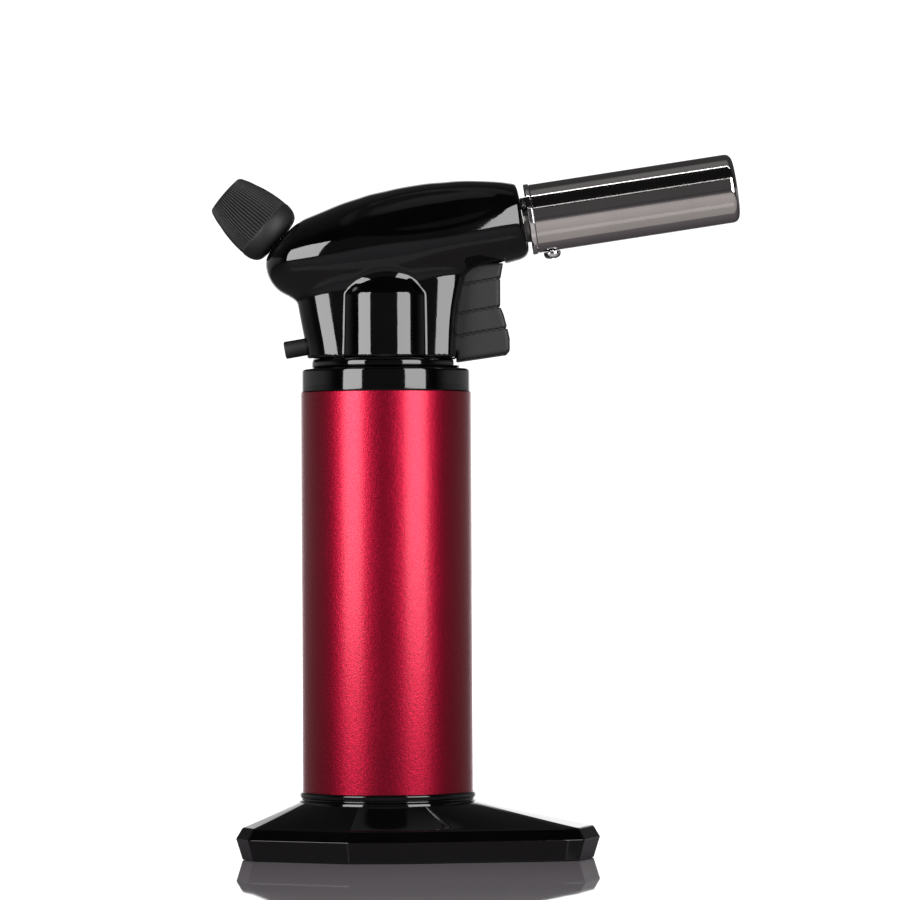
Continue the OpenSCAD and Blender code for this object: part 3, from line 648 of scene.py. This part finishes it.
FOOT_SIDE = [(foot_front, 5), (foot_front - 4.5, 20.1), (foot_front - 9, 22.2), (6, foot_half),
             (-10, foot_half), (foot_rear + 3.5, 16.3), (foot_rear, 8)]
RIDGE_Z = 5.6
RIM_Z = 8.5
EDGE_INSET = 1.7  # of the lower edge and the rim, from the ridge
SOCKET_R = sleeve_r + 0.12
SOCKET_FLOOR = 13.0
TANK_HOLE_R = 20.95
CAVITY_TOP, CAVITY_EDGE_Z = 11.2, 6.3
SLOPE_TOP = 15.4
SLOPE_BOW = 1.05  # over 1 makes the slope hollow
CORNER = 0.45  # how far before its point a corner starts to turn


def foot_edges():
    """The foot's sides as (outward normal x, y, distance from the origin)."""
    corners = FOOT_SIDE + [(x, -y) for x, y in reversed(FOOT_SIDE)]
    edges = []
    for (ax, ay), (bx, by) in zip(corners, corners[1:] + corners[:1]):
        nx, ny = by - ay, ax - bx
        long = math.hypot(nx, ny)
        edges.append((nx / long, ny / long, (nx * ax + ny * ay) / long))
    return edges


def foot_ring(inset):
    """Outline of the foot moved in by inset, its corners slightly rounded."""
    edges = foot_edges()
    corners = []
    for (ax, ay, a), (bx, by, b) in zip(edges[-1:] + edges[:-1], edges):
        det = ax * by - ay * bx
        x = ((a - inset) * by - (b - inset) * ay) / det
        y = ((b - inset) * ax - (a - inset) * bx) / det
        corners.append(np.array([x, y]))
    out = []
    for here, after, beyond in zip(corners, corners[1:] + corners[:1], corners[2:] + corners[:2]):
        go = (after - here) / np.linalg.norm(after - here)
        turn = (beyond - after) / np.linalg.norm(beyond - after)
        for t in [0, 0.02] + list(np.linspace(0.08, 0.92, 13)) + [0.98, 1]:
            out.append(here + go * CORNER + (after - here - go * 2 * CORNER) * t)
        start, end = after - go * CORNER, after + turn * CORNER
        for t in (0.25, 0.5, 0.75):
            out.append((1 - t) ** 2 * start + 2 * t * (1 - t) * after + t * t * end)
    return np.array(out)


def with_support(outline):
    """Adds a point close to each end of an outline's long stretches, so that shading stays flat there."""
    out = outline[:1]
    for (q0, z0), (q1, z1) in zip(outline, outline[1:]):
        long = math.hypot(q1 - q0, z1 - z0)
        if long > 1:
            out += [(q0 + (q1 - q0) * t, z0 + (z1 - z0) * t) for t in (0.1 / long, 1 - 0.1 / long)]
        out.append((q1, z1))
    return out


def foot():
    """Faceted foot, its rows of points running from the lower edge up to the socket and back inside."""
    # the side from its lower edge over the ridge to the rim, as (inset, z); the first and last points only
    # give the directions there, and the points that they turn into are dropped
    guide = 4.0
    ends = 7
    side = [(guide, foot_z), (EDGE_INSET, foot_z, 0.25), (0, RIDGE_Z, 1.4), (EDGE_INSET, RIM_Z, 0.45),
            (guide, 9.4)]
    side = with_support(fillet(side, 0.3, ends - 1)[ends:-ends])
    rim_inset, rim_z = side[-1]
    rim_x, rim_y = foot_ring(EDGE_INSET).T
    angles = np.arctan2(rim_y, rim_x)
    circle = np.stack([np.cos(angles), np.sin(angles)], 1)
    rim, socket, inner = foot_ring(rim_inset), SOCKET_R * circle, TANK_HOLE_R * circle

    rows = [(foot_ring(guide), foot_z)] + [(foot_ring(inset), z) for inset, z in side]
    for t in [0.012] + list(np.linspace(0.06, 0.98, 15)) + [1]:
        rows.append((rim * (1 - t) + socket * t, rim_z + (SLOPE_TOP - rim_z) * t ** SLOPE_BOW))
    rows += [(socket, SOCKET_FLOOR), (inner, SOCKET_FLOOR), (inner, CAVITY_TOP)]
    rows.append((foot_ring(guide), CAVITY_EDGE_Z))

    around = len(circle)
    points = [(x, y, z) for ring, z in rows for x, y in ring]
    quads = []
    for a in range(len(rows)):
        b = (a + 1) % len(rows)
        for k in range(around):
            j = (k + 1) % around
            quads.append((a * around + k, a * around + j, b * around + j, b * around + k))
    skin = make("foot_skin", points, quads)
    mesh = bmesh.new()
    mesh.from_mesh(skin.data)
    bmesh.ops.recalc_face_normals(mesh, faces=mesh.faces)
    mesh.to_mesh(skin.data)
    mesh.free()
    skin.data.set_sharp_from_angle(angle=math.radians(50))
    piece(skin, "foot_shell")


def foot_lip():
    """Moulded ring where the sleeve enters the foot."""
    profile = [(SOCKET_R, 13.4), (23.6, 13.4), (23.6, 15.2, 0.2), (22.95, 15.6, 0.12), (22.95, 15.95, 0.12),
               (23.25, 16.2, 0.12), (23.35, 17.2, 0.3), (23.0, foot_top, 0.15), (SOCKET_R, foot_top, 0.05)]
    piece(lathe("foot_lip_skin", fillet(profile, 0.1), 160, sharp=50), "foot_shell")


# ---------------------------------------------------------------- trigger

TRIGGER_OUTLINE = np.array([
    (31.2, 157), (30.4, 152.4), (30.4, 145.5), (31.25, 143.5), (32.35, 139.4), (32.85, 137), (32.85, 134.0),
    (32.0, 133.0), (18.7, 131.1), (18.6, 133.4), (15, 133.4), (15, 150.5), (19.2, 153.5), (22, 157)])
GROOVES = (151.3, 143.8, 137.9)  # heights of the grooves at x = 20
GROOVE_HALF = 0.28
GROOVE_DEPTH = 0.55
RAIL_Z = 147.3


def polygon_field(px, pz, corners):
    """Distance from a polygon's outline, negative inside it."""
    nearest = np.full(len(px), 1e9)
    sign = np.ones(len(px))
    for a, b in zip(corners, np.roll(corners, 1, axis=0)):
        ex, ez = b - a
        wx, wz = px - a[0], pz - a[1]
        t = np.clip((wx * ex + wz * ez) / (ex * ex + ez * ez), 0, 1)
        nearest = np.minimum(nearest, (wx - ex * t) ** 2 + (wz - ez * t) ** 2)
        tests = np.stack([pz >= a[1], pz < b[1], ex * wz > ez * wx])
        sign = np.where(tests.all(0) | (~tests).all(0), -sign, sign)
    return sign * np.sqrt(nearest)


def trigger_field(p):
    """Finger face with its grooves, hollowed for the igniter, and the rail that pushes the gas lever."""
    x, y, z = p[:, 0], p[:, 1], p[:, 2]
    d = smax(polygon_field(x, z, TRIGGER_OUTLINE), np.abs(y) - TRIGGER_HALF, 1.3)
    across = -(x - 20) * press.dz + z * press.dx
    for height in GROOVES:
        groove = all_of(np.abs(across - height * press.dx) - GROOVE_HALF, -(d + GROOVE_DEPTH), 18.5 - x)
        d = smax(d, -groove, 0.25)
    t, r = press.split(p)
    piezo_pocket = all_of(r - 4.3, t - 47.5)
    rail = all_of(-3.0 - x, x - 17, np.abs(z - RAIL_Z) - 0.8, np.abs(y) - 2.5)
    return np.minimum(all_of(d, -piezo_pocket), rail)


def trigger():
    cell = 0.28
    points, quads = net(trigger_field, (-4, -8.4, 130), (34, 8.4, 158), cell, 2)
    piece(make("trigger_skin", points, quads, 40), "trigger")


# ---------------------------------------------------------------- turned parts


def sleeve():
    bore = sleeve_r - 1
    profile = [(sleeve_r, sleeve_z), (sleeve_r, sleeve_top), (bore, sleeve_top), (bore, sleeve_z)]
    piece(lathe("sleeve_skin", fillet(profile, 0.22), 160, sharp=40), "body_sleeve")


def collar():
    """Collar with its narrow ring, flattened where the trigger passes."""
    plug, bore, shoulder, rim = 21.4, 17.6, sleeve_top + 0.05, 129.3
    profile = [(bore, collar_z), (plug, collar_z), (plug, shoulder, 0.1), (collar_r, shoulder, 0.25),
               (collar_r, rim, 0.8), (19.2, rim, 0.1), (19.7, 129.95, 0.3), (19.7, 131.2, 0.3),
               (19.1, 131.95, 0.2), (bore, collar_top)]
    ring = lathe("collar_skin", fillet(profile, 0.2), 144, sharp=40)
    cut(ring, block((14.5, -8, 130.1), (26, 8, 134)))
    piece(ring, "upper_collar")


def lock_button():
    profile = [(0, 0.05), (1.9, 0, 0.5), (2.3, 0.25, 0.4), (2.3, 8.0, 0.1), (3.4, 8.0), (3.4, 9.2), (0, 9.2)]
    piece(lathe("lock_skin", fillet(profile, 0.3), 64, press.place(), 40), "lock_button")


RIBS = 60
POINTS_PER_RIB = 10


def knob_ribs(k, r, z):
    """Grooves between the knob's ribs, fading out towards both ends."""
    fade = float(step(5.1, 5.7, z) * step(19.05, 18.6, z))
    wave = abs(math.sin(math.pi * k / POINTS_PER_RIB))
    return -0.42 * fade * (1 - wave) ** 1.4 * min(1.0, r / 5)


def flame_knob():
    side = [(4.6, 0.1), (6.6, 0.5), (7.75, 1.35), (8.45, 2.7), (8.72, 4.2), (8.72, 5.0), (8.66, 5.3),
            (8.62, 6.9), (8.41, 9.3), (8.14, 10.9), (7.85, 12.4), (7.3, 14.4), (6.82, 16.2), (6.15, 18.0),
            (5.9, 18.5), (5.55, 18.85), (5.1, 19.02), (3.4, 19.2), (1.5, 19.28)]
    radius = spline(range(len(side)), [r for r, z in side])
    height = spline(range(len(side)), [z for r, z in side])
    curve = [(float(radius(q)), float(height(q))) for q in np.linspace(0, len(side) - 1, 90)]
    profile = [(1.55, 12), (1.55, 0.1)] + curve + [(0, 19.3), (0, 12)]
    skin = lathe("knob_skin", profile, RIBS * POINTS_PER_RIB, knob.place(), 50, knob_ribs)
    piece(skin, "flame_knob")


BARREL_WALL = 0.75
LIP_R = 2
SCREW_AHEAD = 4.3  # from the burner's flange


def barrel():
    """Plated barrel with a rolled lip at its mouth."""
    lip_at = (barrel_r - LIP_R, 53.1)
    profile = [(barrel_r - BARREL_WALL, 0.85), (barrel_r, 0.85)]
    profile += arc(*lip_at, LIP_R, 0, 90) + arc(*lip_at, LIP_R - BARREL_WALL, 90, 0)
    piece(lathe("barrel_skin", profile, 160, burner.place(), 40), "burner_shroud")


def flange():
    profile = [(6.05, -0.85), (9.5, -0.85, 0.45), (9.5, 0.55, 0.45), (9.12, 0.85, 0.1), (8.4, 0.9, 0.05),
               (8.4, 7), (6.05, 7)]
    piece(lathe("flange_skin", fillet(profile, 0.25), 144, burner.place(), 40), "shroud_flange")


def burner_neck():
    profile = [(4.8, -14), (6, -14), (6, -7), (6.6, -7), (6.6, -5.6), (6, -5.6), (6, -2.6, 0.1),
               (5.75, -2.4, 0.1), (5.75, -2.1, 0.1), (6, -1.9, 0.1), (6, 3), (4.8, 3)]
    piece(lathe("burner_neck_skin", fillet(profile, 0.2), 96, burner.place(), 40), "mixing_tube")


def barrel_screw():
    """Pan head with a cross drive, under the barrel."""
    profile = [(0, 6.6), (0.95, 6.6), (0.95, 9.3, 0.05), (2.3, 9.3, 0.25), (2.35, 10.1, 0.3),
               (1.9, 10.9, 0.5), (1.0, 11.2, 0.4), (0, 11.25)]
    skin = lathe("barrel_screw_skin", fillet(profile, 0.15), 72, None, 40)
    for turn in (0, math.pi / 2):
        tool = block((-1.5, -0.32, 10.3), (1.5, 0.32, 12))
        tool.data.transform(Matrix.Rotation(turn, 4, "Z"))
        cut(skin, tool)
    downwards = Matrix.Rotation(math.pi / 2, 4, "Y")
    ahead = Matrix.Translation((0, 0, SCREW_AHEAD * MM))
    skin.data.transform(burner.place() @ ahead @ downwards)
    skin.data.set_sharp_from_angle(angle=math.radians(35))
    piece(skin, "shroud_screw")


def soften_edges(node):
    """Small bevel on a CAD node that stays."""
    mod = frame["nodes"][node].modifiers.new("edge", "BEVEL")
    mod.width = 0.12 * MM
    mod.segments = 2
    mod.limit_method = "ANGLE"
    mod.angle_limit = math.radians(40)


housing()
foot()
foot_lip()
trigger()
sleeve()
collar()
lock_button()
flame_knob()
barrel()
flange()
burner_neck()
barrel_screw()
for name in ("base_plate", "non_slip_pad", "base_screws", "housing_screws", "gas_lever", "flame_holder"):
    soften_edges(name)

# ---------------------------------------------------------------- floor and lights


def make_floor():
    bpy.ops.mesh.primitive_plane_add(size=12, location=(0, 0, 0))
    ob = bpy.context.object
    ob.name = "floor"
    look = Look("floor_white").set(Metallic=0.0, IOR=1.5)
    look.colour(look.noise(3, 2), (0.48, 0.445, 0.48), (0.52, 0.485, 0.52))
    look.rough(look.noise(40, 3), 0.02, 0.035)
    ob.data.materials.append(look.material)
    return ob


LIT_CENTRE = Vector((0.01, 0, 0.1))


def soft_box(name, azimuth, height, width, length, distance, power, aim=None):
    """Area light at an azimuth from the camera's side, level with its target unless aim gives a height."""
    data = bpy.data.lights.new(name, "AREA")
    data.shape = "RECTANGLE"
    data.size = width
    data.size_y = length
    data.energy = power
    ob = bpy.data.objects.new(name, data)
    scene.collection.objects.link(ob)
    a = math.radians(azimuth)
    ob.location = LIT_CENTRE + Vector((math.sin(a) * distance, -math.cos(a) * distance, height))
    target = LIT_CENTRE + Vector((0, 0, height if aim is None else aim))
    ob.rotation_euler = (target - ob.location).to_track_quat("-Z", "Y").to_euler()
    ob.visible_camera = False
    return ob


def only_for(light, pieces, state):
    """Lets a light reach only the pieces, or everything except them."""
    group = bpy.data.collections.new(light.name + "_reach")
    for ob in pieces:
        group.objects.link(ob)
    light.light_linking.receiver_collection = group
    for entry in group.collection_objects:
        entry.light_linking.link_state = state


def studio_lights(floor):
    for side, azimuth, width in (("left", -46, 0.6), ("right", 41, 0.66)):
        strip = soft_box("strip_" + side, azimuth, 0.39, width, length=0.98, distance=1.25, power=18)
        only_for(strip, [floor], "EXCLUDE")

    # the two thin lines and the pale lower band along the burner
    top_bar = soft_box("top_bar", 0, height=1.29, width=1.6, length=0.05, distance=0.27, power=1.6, aim=0)
    high_bar = soft_box("high_bar", 0, height=0.8, width=1.4, length=0.035, distance=1.16, power=0.35, aim=0)
    under_glow = soft_box("under_glow", 0, height=-0.095, width=1.2, length=0.6, distance=0.29, power=0.58)
    under_glow.rotation_euler = (math.pi, 0, 0)
    under_glow.data.color = (1, 0.98, 0.865)
    burner_skins = ("barrel_skin", "flange_skin", "burner_neck_skin", "barrel_screw_skin")
    for light in (top_bar, high_bar, under_glow):
        only_for(light, [scene.objects[skin] for skin in burner_skins], "INCLUDE")

    floor_glow = soft_box("floor_glow", 0, height=0.35, width=1.2, length=0.2, distance=0.4, power=3.1)
    floor_glow.rotation_euler = (0, 0, 0)
    only_for(floor_glow, [floor], "INCLUDE")


def studio_world():
    """Plain white behind the object, and dim bands of light round it that only its surfaces see."""
    world = bpy.data.worlds.new("studio")
    scene.world = world
    world.use_nodes = True
    tree = world.node_tree
    direction = tree.nodes.new("ShaderNodeSeparateXYZ")
    coordinates = tree.nodes.new("ShaderNodeTexCoord")
    tree.links.new(coordinates.outputs["Generated"], direction.inputs["Vector"])

    def fade(axis, low, high, a, b):
        """Brightness that runs from a to b as the ray's direction goes from low to high."""
        node = tree.nodes.new("ShaderNodeMapRange")
        node.interpolation_type = "SMOOTHSTEP"
        for key, value in zip(("From Min", "From Max", "To Min", "To Max"), (low, high, a, b)):
            node.inputs[key].default_value = value
        tree.links.new(direction.outputs[axis], node.inputs["Value"])
        return node.outputs["Result"]

    def join(operation, first, *others):
        for other in others:
            node = tree.nodes.new("ShaderNodeMath")
            node.operation = operation
            tree.links.new(first, node.inputs[0])
            tree.links.new(other, node.inputs[1])
            first = node.outputs["Value"]
        return first

    back = fade("Y", 0.88, 0.985, 0.01, 1.5)
    ceiling = join("MULTIPLY", fade("Z", 0.93, 0.985, 0.0, 0.17), fade("Y", -0.22, -0.14, 0.0, 1.0))
    behind = join("MULTIPLY", fade("Y", -0.35, 0.15, 0.0, 0.34), fade("Z", -0.04, 0.0, 0.0, 1.0),
                  fade("Z", 0.1, 0.2, 1.0, 0.15))
    ahead = join("MULTIPLY", fade("Y", -0.6, -0.4, 0.08, 0.0), fade("Z", -0.12, -0.05, 0.0, 1.0),
                 fade("Z", 0.44, 0.52, 1.0, 0.0))
    pick = tree.nodes.new("ShaderNodeMix")
    pick.inputs["B"].default_value = 1.15
    camera_ray = tree.nodes.new("ShaderNodeLightPath").outputs["Is Camera Ray"]
    tree.links.new(camera_ray, pick.inputs["Factor"])
    tree.links.new(join("ADD", back, ceiling, behind, ahead), pick.inputs["A"])
    background = tree.nodes["Background"]
    background.inputs["Color"].default_value = (1, 1, 1, 1)
    tree.links.new(pick.outputs["Result"], background.inputs["Strength"])


stage_floor = make_floor()
studio_lights(stage_floor)
studio_world()
scene.view_settings.view_transform = "Standard"

# ---------------------------------------------------------------- camera

CAMERA_X = 0.0169
TARGET = Vector((CAMERA_X, 0, 0.1078))
ROLL = -0.3

lens = bpy.data.cameras.new("camera")
lens.sensor_width = 36
lens.lens = 209
lens.clip_start = 0.05
lens.clip_end = 50
camera = bpy.data.objects.new("camera", lens)
scene.collection.objects.link(camera)
camera.location = (CAMERA_X, -1.385, 0.088)
aim = (TARGET - camera.location).to_track_quat("-Z", "Y").to_matrix().to_4x4()
camera.rotation_euler = (aim @ Matrix.Rotation(math.radians(ROLL), 4, "Z")).to_euler()
scene.camera = camera
